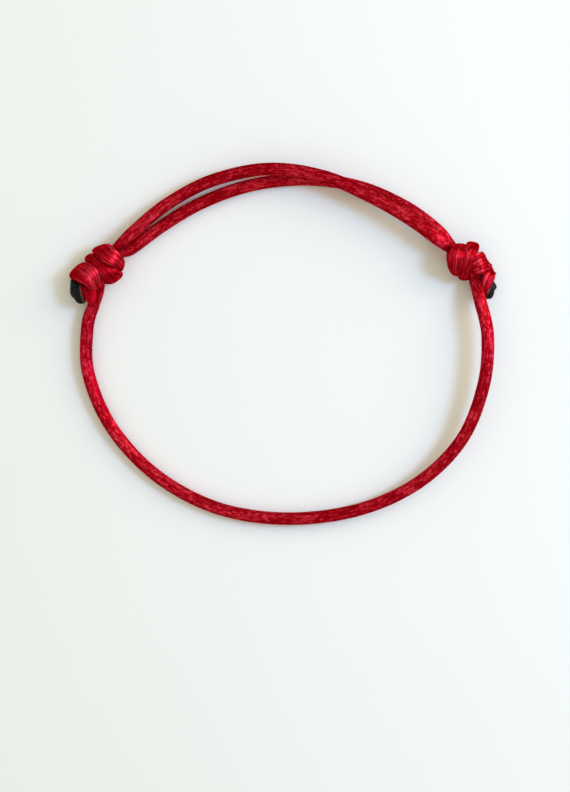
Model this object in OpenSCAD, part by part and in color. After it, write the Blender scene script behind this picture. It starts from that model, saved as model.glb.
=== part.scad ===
// A cord bracelet with two sliding knots, lying on a flat surface.
// One length of satin cord makes the wrist loop and runs double along the top. Each of its ends is tied
// round the other strand as a knot, and finishes in a short tail with a melted black tip.
// Seen from above, +X points right and +Y to the top, where the cord runs double. The surface is at z = 0,
// and the origin is the middle of the ring.

/* [Cord] */
// Diameter of the satin cord
cord_d = 2; // [1.8:0.1:2]
// Squareness of the cord's section: 2 is an ellipse, more is flatter at the sides
squareness = 2.3; // [2:0.1:3]

/* [Ring] */
// Width of the ring, between the middles of the cord
ring_w = 64.1; // [60:0.1:70]
// Height of the ring, between the middles of the cord
ring_h = 55.4; // [50:0.1:62]

/* [Knots] */
// Direction in which the left knot points away from the strands
left_turn = 225; // [222:1:228]
// Direction in which the right knot points away from the strands
right_turn = 0; // [-3:1:3]

/* [Hidden] */

cord_red = [0.70, 0.03, 0.10];
tip_black = [0.11, 0.10, 0.10];

// Size at which the routes below are drawn, and how much the chosen ring stretches them
drawn_w = 64.1;
drawn_h = 55.4;
stretch_x = ring_w / drawn_w;
stretch_y = ring_h / drawn_h;

// Middles of the knots on the surface
left_at = [-29.6 * stretch_x, 11.8 * stretch_y];
right_at = [29.3 * stretch_x, 12.9 * stretch_y];

// Sides of each tube, and sections from one row of a route to the next
cord_sides = 8;
wrap_sides = 10;
cord_steps = 2;
wrap_steps = 3;
tip_steps = 4;

// The free stretches of the cord. Columns: x, y, lift of the cord's underside off the surface
OVER_STRAND = [
    [-23.26, 18.01, 1.7],
    [-18.24, 22.18, 1.1],
    [-11.19, 25.8, 1.4],
    [-2.31, 27.54, 2.3],
    [6.5, 26.3, 2.8],
    [14.25, 22.94, 2.9],
    [20.68, 19.2, 2.9],
    [24.62, 16.34, 2.7]
];
WRIST_LOOP = [
    [31.34, 6.79, 2.4],
    [32.51, 0.77, 3.1],
    [31.76, -7.18, 3],
    [28.33, -15.6, 2.3],
    [21.48, -22.4, 1.3],
    [12.04, -26.69, 0.6],
    [0.7, -28.11, 0.2],
    [-10.33, -26.46, 0],
    [-19.98, -21.38, 0],
    [-27.2, -13.75, 0],
    [-31, -5.1, 0.1],
    [-31.2, 2.2, 0.4]
];
UNDER_STRAND = [
    [-24.06, 15.06, 0.8],
    [-19.3, 18.6, 0.5],
    [-13.08, 22.29, 0.4],
    [-5.19, 25.14, 0.4],
    [3.49, 26.14, 0.4],
    [12.09, 24.96, 0.5],
    [19.45, 21.83, 0.5],
    [24.6, 18.1, 0.5]
];

// The cord inside the knots. Columns, in the knot's own frame: u away from the strands, v to its left,
// height of the middle, and width and thickness in cord diameters, because a knot squeezes the cord
LEFT_START = [
    [-3, -0.15, 2.2, 0.4, 0.5],
    [-5.2, 0, 3.1, 0.8, 0.85]
];
LEFT_CORE = [
    [4.45, 3.65, 1.4, 0.95, 0.95],
    [2.5, 2.9, 1.45, 0.75, 0.86],
    [0.8, 2, 2.35, 0.6, 0.8],
    [-1.4, 0.95, 2.3, 0.55, 0.9],
    [-4.1, 1.05, 2.1, 0.6, 0.85]
];
RIGHT_CORE = [
    [-2.4, 1.8, 2.9, 0.75, 0.75],
    [-0.9, 0.6, 2.8, 0.7, 0.85],
    [0.6, -0.7, 2.5, 0.8, 0.9],
    [1.25, -2.6, 2.1, 0.9, 0.95]
];
RIGHT_END = [
    [-2.65, 2.85, 1.45, 0.75, 0.8]
];

// The wraps of the left knot, in its own frame. A wrap is flat against the core: its thickness lies
// away from the hub, the line that the wraps go round. Columns: u, v, height, width, thickness
LEFT_HUB = [[-1.8, 0.3, 2.5], [2.4, -0.3, 2.5]];
LEFT_WRAPS = [
    [-3.3, 0.1, 0.7, 0.45, 0.35],
    [-3.1, -0.8, 0.8, 0.8, 0.5],
    [-2.8, -1.6, 2.3, 1.35, 0.6],
    [-2.8, -1.2, 3.8, 1.5, 0.65],
    [-2.9, 0.2, 4.5, 1.45, 0.65],
    [-3.2, 1.6, 3.9, 1.15, 0.65],
    [-3.1, 2.3, 2.5, 0.95, 0.6],
    [-2.6, 1.8, 1.1, 0.95, 0.55],
    [-1.7, 0.3, 0.65, 0.9, 0.55],
    [-0.9, -1.1, 0.9, 0.8, 0.55],
    [-0.4, -1.9, 2.3, 0.8, 0.6],
    [-0.6, -1.4, 3.6, 0.75, 0.65],
    [-0.8, 0.2, 4.2, 0.7, 0.65],
    [-0.7, 1.8, 3.95, 1.15, 0.65],
    [-1.1, 3.1, 2.6, 1.3, 0.65],
    [-0.3, 2.2, 0.9, 1.15, 0.55],
    [0.6, 0.6, 0.65, 1.05, 0.55],
    [1.6, -0.9, 0.8, 1.15, 0.55],
    [2.4, -1.8, 2.1, 1.6, 0.6],
    [2.2, -1.4, 3.6, 1.7, 0.65],
    [1.6, -0.1, 4.3, 1.65, 0.65],
    [1.7, 1, 4.1, 1.3, 0.6],
    [1.85, 1.8, 3.7, 1, 0.5],
    [1.95, 2.1, 3.35, 0.65, 0.3],
    [2, 1.8, 3.25, 0.35, 0.2]
];

// The tail that comes out of the left knot over the loop's cord, and its melted tip. Columns as above,
// and the section's lean: how far it runs on along the tail for each step to the side
LEFT_TAIL = [
    [3.45, 3.65, 2.8, 0.7, 0.4, 0],
    [3.7, 3.15, 3, 1.05, 0.6, 0.1],
    [3.87, 2.7, 3.1, 1.2, 0.68, 0.3],
    [3.99, 2.15, 3.1, 1.12, 0.7, 0.6],
    [4.14, 1.6, 3, 1.06, 0.72, 1.02]
];
LEFT_TIP = [
    [4.32, 1.42, 2.95, 1.35, 0.72, 0.42],
    [4.62, 0.95, 2.75, 1.6, 0.85, 0.5],
    [4.87, 0.25, 2.65, 1.55, 0.88, 0.65],
    [5, -0.4, 2.6, 1, 0.75, 1],
    [4.95, -0.9, 2.6, 0.55, 0.4, 1]
];

// The two wraps of the right knot, in its own frame. Columns as for the left knot
RIGHT_HUB = [[-1.8, 0.1, 2.6], [0.4, 0, 2.6]];
RIGHT_WRAPS = [
    [-2.3, 2.0, 1.2, 0.65, 0.5],
    [-2.2, 1.0, 0.7, 0.8, 0.55],
    [-2.1, -0.3, 0.6, 0.75, 0.55],
    [-1.9, -1.2, 1.2, 0.65, 0.55],
    [-1.6, -1.6, 2.6, 0.65, 0.6],
    [-1.85, -1.1, 4.1, 0.9, 0.65],
    [-2.0, 0.3, 4.9, 1.2, 0.65],
    [-1.6, 1.8, 4.6, 1.05, 0.65],
    [-0.9, 2.5, 3.1, 0.85, 0.6],
    [-0.6, 1.8, 1.3, 0.75, 0.55],
    [-0.5, 0.2, 0.6, 0.7, 0.55],
    [-0.55, -1.5, 1.0, 0.7, 0.55],
    [-0.4, -2.4, 2.7, 0.7, 0.6],
    [-0.3, -1.5, 4.2, 0.7, 0.65],
    [0.0, 0.3, 4.9, 0.7, 0.65],
    [0.5, 1.8, 4.3, 0.8, 0.65],
    [1.0, 2.5, 2.8, 0.85, 0.6],
    [1.2, 1.8, 1.4, 0.75, 0.5],
    [1.2, 0.9, 1.2, 0.4, 0.3]
];

// The crossing turn of the right knot, which becomes its tail, and the melted tip. Columns as for the
// left tail
TURN_HUB = [[1.2, -0.4, 2.4], [1.6, -0.2, 2.4]];
RIGHT_TAIL = [
    [0.7, -0.9, 3.8, 0.45, 0.3, 0],
    [1.1, -0.75, 4.05, 1.25, 0.5, 0],
    [1.8, -0.45, 4.05, 1.55, 0.6, 0],
    [2.4, -0.15, 3.6, 1.55, 0.6, 0],
    [2.6, 0.05, 2.7, 1.4, 0.6, 0],
    [2.7, -0.3, 1.7, 1, 0.6, 0],
    [2.9, -1, 1.15, 0.9, 0.7, 0],
    [3.3, -1.7, 1.4, 0.95, 0.85, 0.3],
    [3.65, -2.3, 1.8, 0.95, 0.95, 0.7],
    [3.8, -2.9, 2, 0.95, 0.95, 1],
    [3.87, -3.8, 2.05, 0.9, 0.8, 1.15]
];
RIGHT_TIP = [
    [3.87, -3.95, 2.05, 0.9, 0.8, 1.15],
    [3.88, -4.4, 2.05, 0.9, 0.75, 1.05],
    [3.8, -4.9, 2, 0.85, 0.65, 0.9],
    [3.65, -5.4, 2, 0.7, 0.5, 0.6],
    [3.5, -5.85, 1.95, 0.4, 0.25, 0.3]
];

// A free stretch as rows of x, y, z, width, thickness and lean
function laid(rows) =
    [for (r = rows) [r.x * stretch_x, r.y * stretch_y, r.z + cord_d / 2, cord_d, cord_d, 0]];

// A stretch in a knot's frame as rows of x, y, z, width, thickness and lean
function tied(rows, at = [0, 0], turn = 0) =
    [for (r = rows) [
        at.x + r.x * cos(turn) - r.y * sin(turn),
        at.y + r.x * sin(turn) + r.y * cos(turn),
        r.z, r[3] * cord_d, r[4] * cord_d, is_undef(r[5]) ? 0 : r[5]]];

// The whole cord between its two knotted ends, in the order in which it runs
cord_route = concat(
    tied(LEFT_START, left_at, left_turn),
    laid(OVER_STRAND),
    tied(RIGHT_CORE, right_at, right_turn),
    laid(WRIST_LOOP),
    tied(LEFT_CORE, left_at, left_turn),
    laid(UNDER_STRAND),
    tied(RIGHT_END, right_at, right_turn));

function unit(v) = v / norm(v);

// A row between b and c on the smooth curve through a, b, c and d
function between(a, b, c, d, t) =
    (2 * b + (c - a) * t + (2 * a - 5 * b + 4 * c - d) * t * t
        + (3 * b - a - 3 * c + d) * t * t * t) / 2;

// The rows of a route with more of them on the smooth curve from each one to the next
function smooth(rows, steps) =
    let (
        n = len(rows),
        r = concat([2 * rows[0] - rows[1]], rows, [2 * rows[n - 1] - rows[n - 2]]))
    concat(
        [for (i = [1 : n - 1], k = [0 : steps - 1])
            between(r[i - 1], r[i], r[i + 1], r[i + 2], k / steps)],
        [rows[n - 1]]);

function place(row) = [row.x, row.y, row.z];

// Direction of a route at one of its rows
function ahead(rows, i) = unit(place(rows[min(i + 1, len(rows) - 1)]) - place(rows[max(i - 1, 0)]));

// Direction away from the hub, a short line; without a hub it is straight up
function away(p, hub) =
    is_undef(hub) ? [0, 0, 1] :
    let (
        line = hub[1] - hub[0],
        share = min(1, max(0, (p - hub[0]) * line / (line * line))))
    p - hub[0] - share * line;

// One section of a tube: its thickness lies along `out`, its width across it, and its lean along `dir`
function section(row, dir, out, sides) =
    let (
        thick_way = unit(out - (out * dir) * dir),
        wide_way = cross(dir, thick_way))
    [for (j = [0 : sides - 1])
        let (
            a = (j + 0.5) * 360 / sides,
            reach = pow(pow(abs(cos(a)), squareness) + pow(abs(sin(a)), squareness), -1 / squareness),
            side = wide_way * cos(a) * reach * row[3] / 2 + thick_way * sin(a) * reach * row[4] / 2)
        place(row) + side + row[5] * (side * cross(dir, [0, 0, 1])) * dir];

// Two triangles for each side from one section to the next, and a fan at each end
function tube_faces(count, sides) =
    let (last = (count - 1) * sides)
    concat(
        [for (i = [0 : count - 2], j = [0 : sides - 1])
            let (a = i * sides + j, b = i * sides + (j + 1) % sides)
            each [[a, b, b + sides], [a, b + sides, a + sides]]],
        [for (j = [1 : sides - 2]) [0, j + 1, j]],
        [for (j = [1 : sides - 2]) [last, last + j, last + j + 1]]);

// A closed tube along a route
module tube(rows, steps, sides, hub) {
    route = smooth(rows, steps);
    points = [for (i = [0 : len(route) - 1])
        each section(route[i], ahead(route, i), away(place(route[i]), hub), sides)];
    polyhedron(points, tube_faces(len(route), sides), convexity = 10);
}

// Puts what is drawn in a knot's own frame in its place
module in_left_knot() {
    translate(left_at) rotate(left_turn) children();
}

module in_right_knot() {
    translate(right_at) rotate(right_turn) children();
}

// The whole cord: over strand, through the right knot, wrist loop, through the left knot, under strand
module cord() {
    color(cord_red) tube(cord_route, cord_steps, cord_sides);
}

// Three wraps round the loop's cord and the over strand
module left_knot() {
    color(cord_red) in_left_knot() tube(tied(LEFT_WRAPS), wrap_steps, wrap_sides, LEFT_HUB);
}

module left_cord_end() {
    color(cord_red) in_left_knot() tube(tied(LEFT_TAIL), wrap_steps, wrap_sides);
}

module left_sealed_tip() {
    color(tip_black) in_left_knot() tube(tied(LEFT_TIP), tip_steps, wrap_sides);
}

// Two wide wraps that end the under strand
module right_knot() {
    color(cord_red) in_right_knot() tube(tied(RIGHT_WRAPS), wrap_steps, wrap_sides, RIGHT_HUB);
}

// The turn that crosses the knot's lower right side, and the tail that it runs out into
module right_cord_end() {
    color(cord_red) in_right_knot() tube(tied(RIGHT_TAIL), wrap_steps, wrap_sides, TURN_HUB);
}

module right_sealed_tip() {
    color(tip_black) in_right_knot() tube(tied(RIGHT_TIP), tip_steps, wrap_sides);
}

cord();
left_knot();
left_cord_end();
left_sealed_tip();
right_knot();
right_cord_end();
right_sealed_tip();
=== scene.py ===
# The cord bracelet with its looks: one length of red satin cord, tied with two sliding knots and
# lying on a pale floor. Each piece follows the route of its solid, in metres, with the weave of
# the satin as real relief.
import math

import bpy
import numpy as np
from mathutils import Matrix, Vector


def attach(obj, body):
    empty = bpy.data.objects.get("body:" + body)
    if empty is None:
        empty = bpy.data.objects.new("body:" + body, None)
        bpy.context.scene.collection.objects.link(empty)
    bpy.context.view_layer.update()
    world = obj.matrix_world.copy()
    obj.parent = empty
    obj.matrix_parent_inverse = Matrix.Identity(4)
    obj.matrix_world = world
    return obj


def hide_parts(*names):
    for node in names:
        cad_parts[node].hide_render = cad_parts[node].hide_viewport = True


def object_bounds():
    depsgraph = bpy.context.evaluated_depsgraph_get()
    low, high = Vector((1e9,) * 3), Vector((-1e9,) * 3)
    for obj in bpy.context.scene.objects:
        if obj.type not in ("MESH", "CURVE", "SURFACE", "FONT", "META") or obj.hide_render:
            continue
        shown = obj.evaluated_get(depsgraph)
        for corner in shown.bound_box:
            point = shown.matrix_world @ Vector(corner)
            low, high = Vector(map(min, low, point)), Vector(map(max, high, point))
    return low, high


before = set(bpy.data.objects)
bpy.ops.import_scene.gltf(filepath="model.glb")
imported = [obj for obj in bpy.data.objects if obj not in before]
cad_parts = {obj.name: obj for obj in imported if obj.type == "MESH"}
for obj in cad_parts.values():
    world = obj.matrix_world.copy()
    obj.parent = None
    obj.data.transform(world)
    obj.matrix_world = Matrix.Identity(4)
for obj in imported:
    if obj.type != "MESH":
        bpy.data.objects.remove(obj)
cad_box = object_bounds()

MM = 0.001
UP = np.array([0.0, 0.0, 1.0])
CORD_D = 0.002

# Middles of the two knots, and the directions in which they point away from the strands
LEFT_AT, LEFT_TURN = (-0.0296, 0.0118), math.radians(225)
RIGHT_AT, RIGHT_TURN = (0.0293, 0.0129), 0.0

# The free stretches of the cord: x, y, lift of the cord's underside off the surface
OVER_STRAND = [
    (-0.02326, 0.01801, 0.00170), (-0.01824, 0.02218, 0.00110), (-0.01119, 0.02580, 0.00140),
    (-0.00231, 0.02754, 0.00230), (0.00650, 0.02630, 0.00280), (0.01425, 0.02294, 0.00290),
    (0.02068, 0.01920, 0.00290), (0.02462, 0.01634, 0.00270),
]
WRIST_LOOP = [
    (0.03134, 0.00679, 0.00240), (0.03251, 0.00077, 0.00310), (0.03176, -0.00718, 0.00300),
    (0.02833, -0.01560, 0.00230), (0.02148, -0.02240, 0.00130), (0.01204, -0.02669, 0.00060),
    (0.00070, -0.02811, 0.00020), (-0.01033, -0.02646, 0.00000), (-0.01998, -0.02138, 0.00000),
    (-0.02720, -0.01375, 0.00000), (-0.03100, -0.00510, 0.00010), (-0.03120, 0.00220, 0.00040),
]
UNDER_STRAND = [
    (-0.02406, 0.01506, 0.00080), (-0.01930, 0.01860, 0.00050), (-0.01308, 0.02229, 0.00040),
    (-0.00519, 0.02514, 0.00040), (0.00349, 0.02614, 0.00040), (0.01209, 0.02496, 0.00050),
    (0.01945, 0.02183, 0.00050), (0.02460, 0.01810, 0.00050),
]

# Stretches in a knot's own frame: u away from the strands, v to its left, height of the middle,
# width and thickness in cord diameters, and in the tails how far a section runs on for each step
# sideways
LEFT_START = [(-0.0030, -0.00015, 0.0022, 0.4, 0.5), (-0.0052, 0.0, 0.0031, 0.8, 0.85)]
LEFT_CORE = [
    (0.00445, 0.00365, 0.0014, 0.95, 0.95), (0.0025, 0.0029, 0.0016, 0.75, 0.95),
    (0.0008, 0.0020, 0.00235, 0.6, 0.8), (-0.0014, 0.00095, 0.0023, 0.55, 0.9),
    (-0.0041, 0.00105, 0.0021, 0.6, 0.85),
]
RIGHT_CORE = [
    (-0.0024, 0.0018, 0.0029, 0.75, 0.75), (-0.0009, 0.0006, 0.0028, 0.7, 0.85),
    (0.0006, -0.0007, 0.0025, 0.8, 0.9), (0.00125, -0.0026, 0.0021, 0.9, 0.95),
]
RIGHT_END = [(-0.0027, 0.0029, 0.0016, 0.9, 0.9), (-0.0020, 0.0022, 0.0020, 0.8, 0.8)]

# A hub is the line that the wraps of a knot go round, given by its two ends
LEFT_HUB = ((-0.0018, 0.0003, 0.0025), (0.0024, -0.0003, 0.0025))
LEFT_WRAPS = [
    (-0.0033, 0.0001, 0.0007, 0.45, 0.35), (-0.0031, -0.0008, 0.0008, 0.8, 0.5),
    (-0.0028, -0.0016, 0.0023, 1.35, 0.6), (-0.0028, -0.0012, 0.0038, 1.5, 0.65),
    (-0.0029, 0.0002, 0.0045, 1.45, 0.65), (-0.0032, 0.0016, 0.0039, 1.15, 0.65),
    (-0.0031, 0.0023, 0.0025, 0.95, 0.6), (-0.0026, 0.0018, 0.0011, 0.95, 0.55),
    (-0.0017, 0.0003, 0.00065, 0.9, 0.55), (-0.0009, -0.0011, 0.0009, 0.8, 0.55),
    (-0.0004, -0.0019, 0.0023, 0.8, 0.6), (-0.0006, -0.0014, 0.0036, 0.75, 0.65),
    (-0.0008, 0.0002, 0.0042, 0.7, 0.65), (-0.0007, 0.0018, 0.00395, 1.15, 0.65),
    (-0.0011, 0.0031, 0.0026, 1.3, 0.65), (-0.0003, 0.0022, 0.0009, 1.15, 0.55),
    (0.0006, 0.0006, 0.00065, 1.05, 0.55), (0.0016, -0.0009, 0.0008, 1.15, 0.55),
    (0.0023, -0.00175, 0.0021, 1.55, 0.75), (0.0021, -0.0014, 0.0036, 1.65, 0.7),
    (0.0016, -0.0001, 0.0043, 1.65, 0.65), (0.0017, 0.0010, 0.0041, 1.35, 0.6),
    (0.0020, 0.0019, 0.0036, 1.1, 0.5), (0.0022, 0.0021, 0.0029, 0.8, 0.4),
    (0.0022, 0.0014, 0.0023, 0.5, 0.3),
]
LEFT_TAIL = [
    (0.00335, 0.00365, 0.00275, 0.75, 0.4, 0.0), (0.0036, 0.00315, 0.0030, 1.1, 0.6, 0.1),
    (0.00375, 0.00265, 0.0031, 1.3, 0.68, 0.3), (0.00385, 0.0021, 0.0031, 1.25, 0.7, 0.6),
    (0.0041, 0.00135, 0.0030, 1.2, 0.72, 1.05),
]
LEFT_TIP = [
    (0.00417, 0.00127, 0.00295, 1.35, 0.72, 0.42), (0.00447, 0.0008, 0.00275, 1.6, 0.85, 0.5),
    (0.00472, 0.0001, 0.00265, 1.55, 0.88, 0.65), (0.00485, -0.00055, 0.00265, 1.1, 0.75, 1.0),
    (0.00482, -0.00105, 0.0027, 0.6, 0.4, 1.0),
]

RIGHT_HUB = ((-0.0018, 0.0001, 0.0026), (0.0004, 0.0, 0.0026))
RIGHT_WRAPS = [
    (-0.0023, 0.0020, 0.0012, 0.65, 0.5), (-0.0022, 0.0010, 0.0007, 0.8, 0.55),
    (-0.0021, -0.0003, 0.0006, 0.75, 0.55), (-0.0019, -0.0012, 0.0012, 0.65, 0.55),
    (-0.00145, -0.0017, 0.0026, 0.8, 0.6), (-0.0017, -0.0011, 0.0041, 1.15, 0.65),
    (-0.0018, 0.0003, 0.0049, 1.4, 0.65), (-0.0015, 0.0016, 0.0045, 1.2, 0.65),
    (-0.0009, 0.0022, 0.0031, 0.95, 0.6), (-0.0006, 0.0018, 0.0013, 0.75, 0.55),
    (-0.0005, 0.0002, 0.0006, 0.7, 0.55), (-0.00055, -0.0015, 0.0010, 0.7, 0.55),
    (-0.0004, -0.0024, 0.0027, 0.85, 0.6), (-0.0003, -0.0015, 0.0042, 0.85, 0.65),
    (0.0, 0.0003, 0.0049, 0.85, 0.65), (0.0005, 0.0018, 0.0043, 0.95, 0.65),
    (0.0010, 0.0025, 0.0028, 0.95, 0.6), (0.0012, 0.0018, 0.0014, 0.75, 0.5),
    (0.0012, 0.0009, 0.0012, 0.4, 0.3),
]
TURN_HUB = ((0.0012, -0.0004, 0.0024), (0.0016, -0.0002, 0.0024))
RIGHT_TAIL = [
    (0.0007, -0.0009, 0.0038, 0.45, 0.3, 0.0), (0.0010, -0.0009, 0.0041, 1.35, 0.5, 0.0),
    (0.0018, -0.0005, 0.0041, 1.65, 0.6, 0.0), (0.0024, -0.0002, 0.0036, 1.6, 0.6, 0.0),
    (0.0026, 0.0, 0.0027, 1.45, 0.6, 0.0), (0.0028, -0.0003, 0.0017, 1.0, 0.8, 0.0),
    (0.0031, -0.0009, 0.00115, 0.9, 1.15, 0.0), (0.0033, -0.0016, 0.0014, 0.95, 1.32, 0.2),
    (0.00348, -0.0023, 0.0018, 0.95, 1.38, 0.5), (0.00353, -0.0029, 0.0020, 0.95, 1.3, 0.8),
    (0.00372, -0.0042, 0.00205, 0.9, 0.95, 1.3),
]
RIGHT_TIP = [
    (0.00374, -0.0043, 0.00205, 0.9, 0.8, 1.3), (0.0038, -0.0046, 0.00205, 0.82, 0.75, 1.15),
    (0.0037, -0.0051, 0.0020, 0.8, 0.65, 1.0), (0.00367, -0.0055, 0.0020, 0.66, 0.5, 0.7),
    (0.0036, -0.0059, 0.00195, 0.38, 0.28, 0.3),
]

# Rings made between one row of a route and the next
STEPS_BETWEEN = 24

# Shape of a section: 2 is an ellipse, more is squarer. Its line is measured in this many steps.
SQUARE = 2.5
SECTION_STEPS = 480

# Weaves of the satin: columns of threads round the cord, length of a float, height of the relief,
# and at shares of the route how far the threads go sideways for each step along
STRAIGHT = [(0, 0), (1, 0)]
CORD_WEAVE = {"columns": 24, "length": 0.75 * MM, "depth": 0.08 * MM, "slant": STRAIGHT}
WRAP_WEAVE = {
    "columns": 38, "length": 3.5 * MM, "depth": 0.06 * MM, "slant": [(0, 0.12), (1, 0.12)],
}
TAIL_WEAVE = {"columns": 18, "length": 1.3 * MM, "depth": 0.05 * MM, "slant": STRAIGHT}
TURN_WEAVE = {
    "columns": 14, "length": 1.3 * MM, "depth": 0.12 * MM,
    "slant": [(0, 0), (0.4, 0), (0.6, 1.0), (1, 1.0)],
}

# The floats: how far a column is moved along and the range of their lengths, both in floats; how
# far one drops at its sides and its ends; the crown that lies level with the plain tube; a power
# that makes bright ones, which take the painted highlight, rare; and the crown and tone at the
# middle of a tube's ends
STAGGER = 0.28
LENGTH_RANGE = (0.85, 1.2)
SIDE_DROP, END_DROP = 0.92, 0.6
LEVEL_CROWN = 0.7
TONE_POWER = 1.5
PLAIN = 0.5

# The slow unevenness of the cord: its longest wave, the number of waves, how much shorter and
# weaker each next one is, what their sum is divided by, and the range of their starts
LONGEST_WAVE = 0.02
WAVES, SHORTER, WEAKER, WAVES_SUM = 5, 0.8, 0.5, 2.5
WAVE_STARTS = (0, 6.28)

# The UV map: the used share of each strip and of the height, the blank before a strip and below
# it, and the small triangles of the tube's ends, above the strips
STRIP_USED, STRIP_HEIGHT = 0.94, 0.97
BLANK_BEFORE, BLANK_BELOW = 0.02, 0.03
ENDS_AT, ENDS_SIZE, CORNER_TURN = (0.5, 0.985), 0.004, 2.1

# Colours, from the painted shade in the dark gaps of the satin to the painted highlight on its
# bright crowns
SATIN_GAP_SHADE = (0.06, 0.0, 0.001, 1)
SATIN_BODY = (0.41, 0.002, 0.010, 1)
SATIN_HIGHLIGHT = (0.90, 0.055, 0.10, 1)
SATIN_SHEEN = (0.7, 0.02, 0.08, 1)
TIP_BLACK = (0.001, 0.001, 0.001, 1)
TIP_ASH = (0.008, 0.008, 0.008, 1)
# The tip's rim beside the cord: partly the melted red thread, partly a painted glint
TIP_RIM_AND_GLINT = (0.24, 0.05, 0.045, 1)
FLOOR_SHADES = (0.83, 0.845, 0.835, 1), (0.86, 0.87, 0.86, 1)
SKY_COLOUR = (1.0, 0.95, 0.765, 1)

# How much finer the hairs and the patches of the satin are along the cord and across it
HAIR_STRETCH = (0.9, 9.0, 9.0)
PATCH_STRETCH = (0.25, 0.5, 0.5)

# Brightness of the surroundings at the horizon and overhead
SKY = (0.25, 0.98)

# Lights, all turned to the middle of the bracelet: name, place, diameter, power, colour
LIGHTS = [
    ("cool_light", (0.320, 0.056, 0.380), 0.14, 1.2, (0.30, 0.55, 1.0)),
    ("window", (0.42, 0.22, 0.28), 0.4, 1.4, (1.0, 0.93, 0.74)),
]

# The camera looks straight down. The photograph shows this many metres from its top to its foot,
# at this height above the floor.
EYE = (0.0004, -0.0085, 0.300)
SEEN_HEIGHT = 0.12672
SEEN_LEVEL = 0.001
SENSOR = 36.0
CLIP = (0.01, 10.0)

# Half the side of the floor, and its corners as signs of x and y
FLOOR_HALF = 1.5
CORNERS = ((-1, -1), (1, -1), (1, 1), (-1, 1))


def laid(rows):
    """A free stretch as rows of x, y, z, width, thickness and lean."""
    return [(x, y, lift + CORD_D / 2, CORD_D, CORD_D, 0.0) for x, y, lift in rows]


def tied(rows, at, turn):
    """A stretch in a knot's own frame as rows of x, y, z, width, thickness and lean."""
    c, s = math.cos(turn), math.sin(turn)
    return [
        (at[0] + u * c - v * s, at[1] + u * s + v * c, z, w * CORD_D, t * CORD_D, *(lean or [0.0]))
        for u, v, z, w, t, *lean in rows
    ]


def left(rows):
    return tied(rows, LEFT_AT, LEFT_TURN)


def right(rows):
    return tied(rows, RIGHT_AT, RIGHT_TURN)


def hub_line(hub, side):
    """A hub's two ends in the part's frame."""
    return np.array([row[:3] for row in side([(*p, 1, 1) for p in hub])])


def smooth(rows):
    """The smooth curve through the rows, which the solids follow too."""
    rows = np.array(rows, float)
    r = np.vstack([2 * rows[0] - rows[1], rows, 2 * rows[-1] - rows[-2]])
    a, b, c, d = r[:-3], r[1:-2], r[2:-1], r[3:]
    t = (np.arange(STEPS_BETWEEN) / STEPS_BETWEEN)[:, None, None]
    made = (
        2 * b + (c - a) * t + (2 * a - 5 * b + 4 * c - d) * t**2
        + (3 * b - a - 3 * c + d) * t**3
    ) / 2
    return np.vstack([made.transpose(1, 0, 2).reshape(-1, rows.shape[1]), rows[-1]])


def evenly(route, spacing):
    """The route with its rings about one distance apart, and each ring's distance along it."""
    gaps = np.linalg.norm(np.diff(route[:, :3], axis=0), axis=1)
    along = np.concatenate([[0], np.cumsum(gaps)])
    at = np.linspace(0, along[-1], max(4, round(along[-1] / spacing)) + 1)
    return np.stack([np.interp(at, along, route[:, k]) for k in range(route.shape[1])], 1), at


def unit(v):
    return v / np.maximum(np.linalg.norm(v, axis=-1, keepdims=True), 1e-12)


def ring_axes(places, hub):
    """For each ring: the way along, the way across its width and the way of its thickness."""
    ahead = unit(np.gradient(places, axis=0))
    if hub is None:
        out = np.tile(UP, (len(places), 1))
    else:
        line = hub[1] - hub[0]
        share = np.clip((places - hub[0]) @ line / (line @ line), 0, 1)
        out = places - hub[0] - share[:, None] * line
    thick_way = unit(out - (out * ahead).sum(1, keepdims=True) * ahead)
    return ahead, np.cross(ahead, thick_way), thick_way


def section(width, thickness, around):
    """A section's points, evenly spaced, their outward directions, and the way round it."""
    a = np.linspace(0, 2 * np.pi, SECTION_STEPS + 1)
    reach = (np.abs(np.cos(a)) ** SQUARE + np.abs(np.sin(a)) ** SQUARE) ** (-1 / SQUARE)
    x, y = np.cos(a) * reach * width / 2, np.sin(a) * reach * thickness / 2
    step = np.hypot(np.diff(x), np.diff(y))
    run = np.concatenate([[0], np.cumsum(step)])
    at = np.arange(around) / around * run[-1]
    px, py = np.interp(at, run, x), np.interp(at, run, y)
    dx = np.roll(px, -1) - np.roll(px, 1)
    dy = np.roll(py, -1) - np.roll(py, 1)
    long = np.maximum(np.hypot(dx, dy), 1e-12)
    return px, py, dy / long, -dx / long, run[-1]


def ripple(at, seed):
    """A slow uneven change along a route, about -1 to 1."""
    rng = np.random.default_rng(seed)
    total = np.zeros_like(at)
    for k in range(WAVES):
        wave = LONGEST_WAVE / (1 + SHORTER * k)
        total += np.sin(at * 2 * np.pi / wave + rng.uniform(*WAVE_STARTS)) / (1 + k * WEAKER)
    return total / WAVES_SUM


def floats(along, share, columns, length, drift, seed):
    """The satin's floats, short raised threads in columns along the cord, as crown and tone."""
    rng = np.random.default_rng(seed)
    place = share * columns + drift
    column = np.floor(place).astype(int)
    across = (place - column) * 2 - 1
    column %= columns
    start = np.arange(columns) % 2 * 0.5 + rng.uniform(-STAGGER, STAGGER, columns)
    lengths = rng.uniform(*LENGTH_RANGE, columns)
    run = along / length / lengths[column] + start[column] + 1
    number = np.floor(run).astype(int)
    within = (run - number) * 2 - 1
    tones = rng.random((columns, number.max() + 1))
    crown = np.sqrt(1 - SIDE_DROP * across**2) * (1 - END_DROP * np.abs(within) ** 5)
    return crown, tones[column, number] ** TONE_POWER


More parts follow.
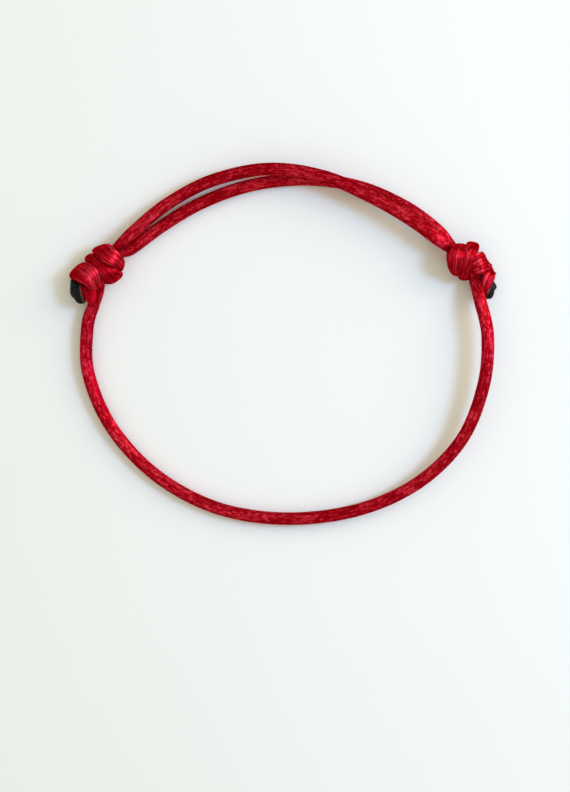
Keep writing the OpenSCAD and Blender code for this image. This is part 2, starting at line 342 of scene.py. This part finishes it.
def woven(weave, at, girth, along, share, seed):
    """Crown, tone and relief of a weave at each point of a tube."""
    slant = np.interp(at / at[-1], *zip(*weave["slant"]))
    drift = np.concatenate([[0], np.cumsum(np.diff(at) * slant[1:] / girth[1:])]) * weave["columns"]
    crown, tone = floats(along, share, weave["columns"], weave["length"], drift[:, None], seed)
    return crown, tone, (crown - LEVEL_CROWN) * weave["depth"]


def closed_tube(name, points):
    """A mesh of rings joined by quads, with a fan of triangles at each end."""
    rings, around = points.shape[:2]
    n = rings * around
    i, j = np.meshgrid(np.arange(rings - 1), np.arange(around), indexing="ij")
    a, b = i * around + j, i * around + (j + 1) % around
    quads = np.stack([a, b, b + around, a + around], -1).reshape(-1, 4)
    k = np.arange(around)
    start = np.stack([np.full(around, n), (k + 1) % around, k], 1)
    end = np.stack([np.full(around, n + 1), n - around + k, n - around + (k + 1) % around], 1)
    verts = np.vstack([points.reshape(-1, 3), points[0].mean(0), points[-1].mean(0)])
    mesh = bpy.data.meshes.new(name)
    mesh.from_pydata(verts.tolist(), [], quads.tolist() + start.tolist() + end.tolist())
    mesh.polygons.foreach_set("use_smooth", np.ones(len(mesh.polygons), bool))
    return mesh


def strip_map(mesh, rings, around, long, girth):
    """A UV map of strips side by side, each a stretch of the tube, which together fill a square."""
    strips = max(1, round(math.sqrt(long / girth)))
    per = math.ceil((rings - 1) / strips)
    i = np.repeat(np.arange(rings - 1), around)
    j = np.tile(np.arange(around), rings - 1)
    strip, first = i // per, i // per * per
    u0 = (i - first) / per * STRIP_USED + BLANK_BEFORE
    u1 = (i - first + 1) / per * STRIP_USED + BLANK_BEFORE
    v0 = (strip + BLANK_BELOW + j / around * STRIP_USED) / strips * STRIP_HEIGHT
    v1 = (strip + BLANK_BELOW + (j + 1) / around * STRIP_USED) / strips * STRIP_HEIGHT
    corners = ((u0, v0), (u0, v1), (u1, v1), (u1, v0))
    quads = np.stack([np.stack(corner, 1) for corner in corners], 1)
    layer = mesh.uv_layers.new(name="OFBake")
    flat = np.zeros((len(mesh.loops), 2), np.float32)
    flat[: len(quads) * 4] = quads.reshape(-1, 2)
    turn = np.arange(len(mesh.loops) - len(quads) * 4) % 3 * CORNER_TURN
    flat[len(quads) * 4:, 0] = ENDS_AT[0] + ENDS_SIZE * np.cos(turn)
    flat[len(quads) * 4:, 1] = ENDS_AT[1] + ENDS_SIZE * np.sin(turn)
    layer.data.foreach_set("uv", flat.ravel())


def store(mesh, name, values, at_start, at_end):
    """Keeps a number or a vector for each point of a tube, and for the middles of its two ends."""
    kind, field = ("FLOAT", "value") if values.ndim == 2 else ("FLOAT_VECTOR", "vector")
    flat = np.concatenate([values.ravel(), at_start, at_end]).astype(np.float32)
    mesh.attributes.new(name, kind, "POINT").data.foreach_set(field, flat)


def sweep(name, rows, spacing, around, seed, grow, hub=None, weave=None, light_share=1.0, uneven=0.0):
    """A closed tube along a route, with the weave's relief on it, and the places of its rings."""
    route, at = evenly(smooth(rows), spacing)
    places, wide, thick = route[:, :3], route[:, 3] * grow, route[:, 4] * grow
    swell = 1 + uneven * ripple(at, seed)
    ahead, wide_way, thick_way = ring_axes(places, hub)
    cut = [section(w * s, t * s, around) for w, t, s in zip(wide, thick, swell)]
    px, py, nx, ny = (np.array([c[k] for c in cut]) for k in range(4))
    girth = np.array([c[4] for c in cut])
    share = np.tile(np.arange(around) / around, (len(at), 1))
    along = np.tile(at[:, None], (1, around))
    crown, tone, lift = np.ones_like(share), np.full_like(share, PLAIN), np.zeros_like(share)
    if weave:
        crown, tone, lift = woven(weave, at, girth, along, share, seed)
        # A light share below 1 dims the tone: painted shade, with fewer painted highlights.
        tone = tone * light_share
    side = (
        wide_way[:, None, :] * (px + nx * lift)[..., None]
        + thick_way[:, None, :] * (py + ny * lift)[..., None]
    )
    lean = (side * np.cross(ahead, UP)[:, None, :]).sum(-1, keepdims=True) * route[:, None, 5:6]
    mesh = closed_tube(name, places[:, None, :] + side + lean * ahead[:, None, :])
    strip_map(mesh, len(at), around, at[-1], girth.mean())
    angle = share * 2 * np.pi
    radius = girth[:, None] / (2 * np.pi)
    fibre = np.stack([along, radius * np.cos(angle), radius * np.sin(angle)], -1) / MM
    store(mesh, "fibre", fibre, fibre[0, 0], fibre[-1, -1])
    store(mesh, "crown", crown, [PLAIN], [PLAIN])
    store(mesh, "tone", tone, [PLAIN], [PLAIN])
    store(mesh, "reached", along / at[-1], [0], [1])
    obj = bpy.data.objects.new(name, mesh)
    bpy.context.scene.collection.objects.link(obj)
    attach(obj, "root")
    return obj, places


class Nodes:
    """A material's nodes, made in the order of use."""

    def __init__(self, name):
        self.material = bpy.data.materials.new(name)
        self.material.use_nodes = True
        self.tree = self.material.node_tree
        self.shader = self.tree.nodes["Principled BSDF"]

    def add(self, kind, settings=None, **inputs):
        """A node with its settings; an input is named, or numbered after an underscore."""
        node = self.tree.nodes.new(kind)
        for key, value in (settings or {}).items():
            setattr(node, key, value)
        for key, value in inputs.items():
            self.feed(node.inputs[int(key[1:]) if key[1:].isdigit() else key], value)
        return node

    def feed(self, socket, value):
        if isinstance(value, bpy.types.NodeSocket):
            self.tree.links.new(value, socket)
        else:
            socket.default_value = value

    def shade(self, name, value):
        self.feed(self.shader.inputs[name], value)

    def attribute(self, name, output="Fac"):
        return self.add("ShaderNodeAttribute", {"attribute_name": name}).outputs[output]

    def maths(self, operation, a, b):
        return self.add("ShaderNodeMath", {"operation": operation}, _0=a, _1=b).outputs[0]

    def between(self, value, seen, made):
        """The value, moved from its seen range to the range to be made."""
        node = self.add(
            "ShaderNodeMapRange", _0=value, _1=seen[0], _2=seen[1], _3=made[0], _4=made[1]
        )
        return node.outputs[0]

    def mixed(self, share, a, b):
        node = self.add("ShaderNodeMix", {"data_type": "RGBA"}, _0=share, _6=a, _7=b)
        return node.outputs[2]

    def noise(self, vector, scale, detail=2.0, roughness=0.5):
        node = self.add(
            "ShaderNodeTexNoise", Vector=vector, Scale=scale, Detail=detail, Roughness=roughness
        )
        return node.outputs[0]

    def stretched(self, vector, amounts):
        return self.add("ShaderNodeMapping", Vector=vector, Scale=amounts).outputs[0]

    def bump(self, height, strength, distance):
        node = self.add("ShaderNodeBump", Height=height, Strength=strength, Distance=distance)
        return node.outputs[0]


def satin():
    """Red satin: a painted highlight on the crowns of the floats, painted shade between them, with
    fine hairs.
    """
    n = Nodes("satin_cord")
    fibre = n.attribute("fibre", "Vector")
    crown, tone = n.attribute("crown"), n.attribute("tone")
    hairs = n.noise(n.stretched(fibre, HAIR_STRETCH), scale=1.6, detail=3.0, roughness=0.6)
    patches = n.noise(n.stretched(fibre, PATCH_STRETCH), scale=1.0)
    # The crown paints shade into the gaps between the floats; where crown, tone and hairs come out
    # brightest the red turns to a painted highlight.
    level = n.between(crown, (0.1, 0.95), (0.5, 1.0))
    level = n.maths("MULTIPLY", level, n.between(tone, (0, 1), (0.78, 1.38)))
    level = n.maths("MULTIPLY", level, n.between(hairs, (0.3, 0.7), (0.6, 1.3)))
    level = n.maths("MULTIPLY", level, n.between(patches, (0.35, 0.65), (0.8, 1.08)))
    red = n.mixed(n.between(level, (0.1, 0.75), (0, 1)), SATIN_GAP_SHADE, SATIN_BODY)
    red = n.mixed(n.between(level, (0.75, 1.4), (0, 1)), red, SATIN_HIGHLIGHT)
    tangent = n.add("ShaderNodeTangent", {"direction_type": "UV_MAP", "uv_map": "OFBake"})
    n.shade("Base Color", red)
    n.shade("Roughness", n.between(hairs, (0.3, 0.7), (0.36, 0.5)))
    n.shade("Metallic", 0.85)
    n.shade("Specular Tint", SATIN_SHEEN)
    n.shade("Specular IOR Level", 0.0)
    n.shade("Anisotropic", 0.9)
    n.shade("Anisotropic Rotation", 0.25)
    n.shade("Tangent", tangent.outputs[0])
    n.shade("Normal", n.bump(hairs, strength=0.35, distance=0.03 * MM))
    return n.material


def melted():
    """Burnt and melted thread: black and half glossy, with a red-brown rim beside the cord that is
    partly the melted red thread and partly a painted glint.
    """
    n = Nodes("melted_tip")
    fibre = n.attribute("fibre", "Vector")
    lumps = n.noise(fibre, scale=1.8, detail=3.0, roughness=0.55)
    grain = n.noise(fibre, scale=9.0)
    edge = n.maths("ADD", n.attribute("reached"), n.between(lumps, (0.3, 0.7), (-0.1, 0.12)))
    black = n.mixed(lumps, TIP_BLACK, TIP_ASH)
    rough = n.maths("ADD", lumps, n.maths("MULTIPLY", grain, 0.3))
    # The rim colour near the cord: partly melted red thread, partly a painted glint
    n.shade("Base Color", n.mixed(n.between(edge, (0, 0.1), (1, 0)), black, TIP_RIM_AND_GLINT))
    n.shade("Roughness", n.between(lumps, (0.3, 0.7), (0.12, 0.35)))
    n.shade("Specular IOR Level", 0.12)
    n.shade("Normal", n.bump(rough, strength=0.8, distance=0.3 * MM))
    return n.material


def pale_floor():
    """A pale, nearly white board."""
    n = Nodes("floor")
    place = n.add("ShaderNodeTexCoord").outputs["Object"]
    cloud = n.noise(place, scale=14.0, detail=3.0)
    grain = n.noise(place, scale=900.0)
    n.shade("Base Color", n.mixed(cloud, *FLOOR_SHADES))
    n.shade("Roughness", 0.7)
    n.shade("Normal", n.bump(grain, strength=0.15, distance=0.1 * MM))
    return n.material


def add_camera():
    data = bpy.data.cameras.new("camera")
    data.sensor_width = SENSOR
    data.lens = SENSOR * (EYE[2] - SEEN_LEVEL) / SEEN_HEIGHT
    data.clip_start, data.clip_end = CLIP
    camera = bpy.data.objects.new("camera", data)
    camera.location = EYE
    bpy.context.scene.collection.objects.link(camera)
    bpy.context.scene.camera = camera


def add_light(name, place, diameter, watts, colour):
    data = bpy.data.lights.new(name, "AREA")
    data.shape, data.size, data.energy, data.color = "DISK", diameter, watts, colour
    light = bpy.data.objects.new(name, data)
    light.location = place
    light.rotation_mode = "QUATERNION"
    light.rotation_quaternion = (-Vector(place)).to_track_quat("-Z", "Y")
    bpy.context.scene.collection.objects.link(light)


def add_floor(level):
    corners = [(x * FLOOR_HALF, y * FLOOR_HALF, level) for x, y in CORNERS]
    mesh = bpy.data.meshes.new("floor")
    mesh.from_pydata(corners, [], [(0, 1, 2, 3)])
    floor = bpy.data.objects.new("floor", mesh)
    bpy.context.scene.collection.objects.link(floor)
    floor.data.materials.append(pale_floor())


def add_studio():
    """A cool light and a broad, warmer window to the right, and a sky that is brighter overhead."""
    for light in LIGHTS:
        add_light(*light)
    world = bpy.data.worlds.new("world")
    world.use_nodes = True
    tree = world.node_tree
    place = tree.nodes.new("ShaderNodeTexCoord")
    parts = tree.nodes.new("ShaderNodeSeparateXYZ")
    height = tree.nodes.new("ShaderNodeMapRange")
    height.inputs["To Min"].default_value, height.inputs["To Max"].default_value = SKY
    sky = tree.nodes["Background"]
    sky.inputs["Color"].default_value = SKY_COLOUR
    tree.links.new(place.outputs["Generated"], parts.inputs[0])
    tree.links.new(parts.outputs["Z"], height.inputs["Value"])
    tree.links.new(height.outputs[0], sky.inputs["Strength"])
    bpy.context.scene.world = world
    bpy.context.scene.view_settings.view_transform = "Standard"


add_camera()

# The whole cord: over strand, right knot, wrist loop, left knot, under strand
cord_rows = [
    *left(LEFT_START), *laid(OVER_STRAND), *right(RIGHT_CORE), *laid(WRIST_LOOP),
    *left(LEFT_CORE), *laid(UNDER_STRAND), *right(RIGHT_END),
]
cord, cord_path = sweep(
    "satin_cord", cord_rows, 0.205 * MM, 80, seed=3, grow=0.99, weave=CORD_WEAVE, uneven=0.012
)

# The other pieces: name, solid that it replaces, slot, route, ring spacing, points round a ring,
# and the rest of the sweep
PIECES = [
    ("left_wraps", "left_knot", "satin_cord", left(LEFT_WRAPS), 0.12 * MM, 156,
     {"seed": 5, "grow": 1.07, "hub": hub_line(LEFT_HUB, left), "weave": WRAP_WEAVE}),
    # The left tail's light share of 0.1 paints shade on it, as under coil 3 and the loop cord, and
    # leaves it few painted highlights.
    ("left_tail", "left_cord_end", "satin_cord", left(LEFT_TAIL), 0.06 * MM, 108,
     {"seed": 7, "grow": 1.07, "weave": TAIL_WEAVE, "light_share": 0.1}),
    ("left_tip", "left_sealed_tip", "melted_tip", left(LEFT_TIP), 0.04 * MM, 96,
     {"seed": 9, "grow": 1.1}),
    ("right_wraps", "right_knot", "satin_cord", right(RIGHT_WRAPS), 0.12 * MM, 144,
     {"seed": 11, "grow": 1.07, "hub": hub_line(RIGHT_HUB, right),
      "weave": {**WRAP_WEAVE, "columns": 34}}),
    ("right_tail", "right_cord_end", "satin_cord", right(RIGHT_TAIL), 0.08 * MM, 112,
     {"seed": 13, "grow": 1.05, "hub": hub_line(TURN_HUB, right), "weave": TURN_WEAVE}),
    ("right_tip", "right_sealed_tip", "melted_tip", right(RIGHT_TIP), 0.04 * MM, 80,
     {"seed": 15, "grow": 1.08}),
]
dressed = [("cord", cord, "satin_cord")]
for name, node, slot, rows, spacing, around, rest in PIECES:
    dressed.append((node, sweep(name, rows, spacing, around, **rest)[0], slot))

materials = {"satin_cord": satin(), "melted_tip": melted()}
for node, piece, slot in dressed:
    piece.data.materials.append(materials[slot])
    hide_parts(node)

add_floor(cad_box[0].z)
add_studio()
